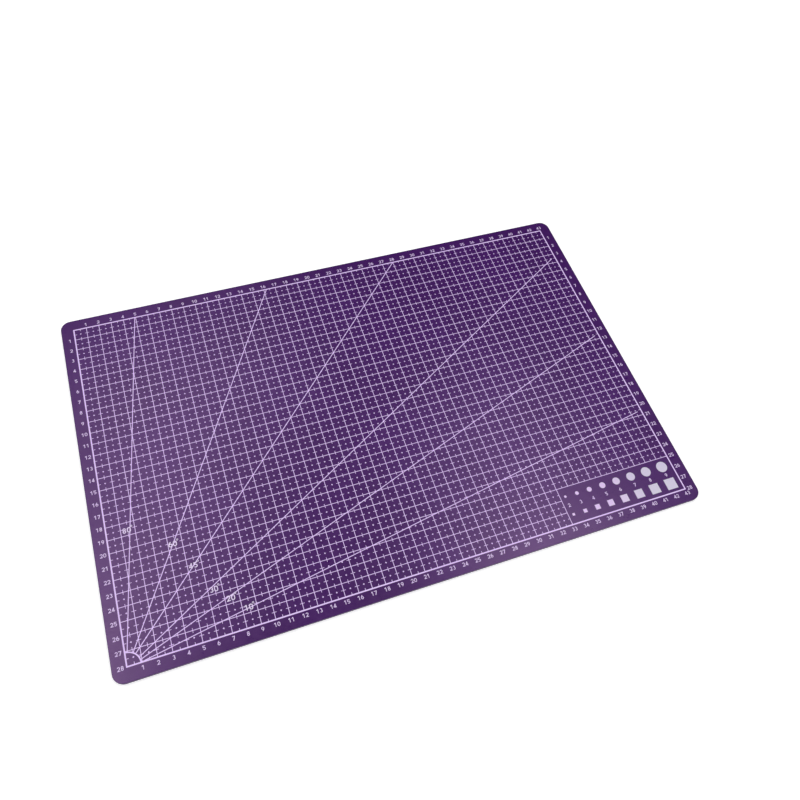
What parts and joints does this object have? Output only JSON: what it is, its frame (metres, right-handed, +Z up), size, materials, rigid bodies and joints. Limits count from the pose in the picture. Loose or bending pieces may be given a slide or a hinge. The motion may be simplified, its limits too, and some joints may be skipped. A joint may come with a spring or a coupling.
{
  "type": "self healing cutting mat",
  "caption": "Thin flat laminated cutting mat with rounded corners, printed with a centimetre grid, edge numbers, protractor lines and size gauges.",
  "frame": {"origin": "middle of the underside, on the plane the mat rests on", "axes": "+X along the long side, towards the size gauges; +Y along the short side, from the row of numbers in front to the row behind; +Z up, out of the printed face"},
  "size_m": [0.45, 0.3, 0.003],
  "materials": {
    "healing_skin": "matt soft PVC with a fine grain",
    "reinforcing_ply": "plain cut edge",
    "core": "plain cut edge",
    "reverse_skin": "matt soft PVC with a fine grain",
    "line_ink": "thin matt screen ink",
    "numeral_ink": "thin matt screen ink",
    "gauge_ink": "thin matt screen ink"
  },
  "bodies": {
    "root": {"top_healing_ply": "healing_skin", "upper_reinforcing_ply": "reinforcing_ply", "core_ply": "core", "lower_reinforcing_ply": "reinforcing_ply", "bottom_healing_ply": "reverse_skin", "print_border": "line_ink", "print_grid_lines": "line_ink", "print_angle_lines": "line_ink", "print_angle_arc": "line_ink", "print_angle_numerals": "numeral_ink", "print_circle_gauges": "gauge_ink", "print_square_gauges": "gauge_ink", "print_gauge_numerals": "numeral_ink", "print_front_numerals": "numeral_ink", "print_back_numerals": "numeral_ink", "print_left_numerals": "numeral_ink", "print_right_numerals": "numeral_ink"}
  },
  "joints": []
}
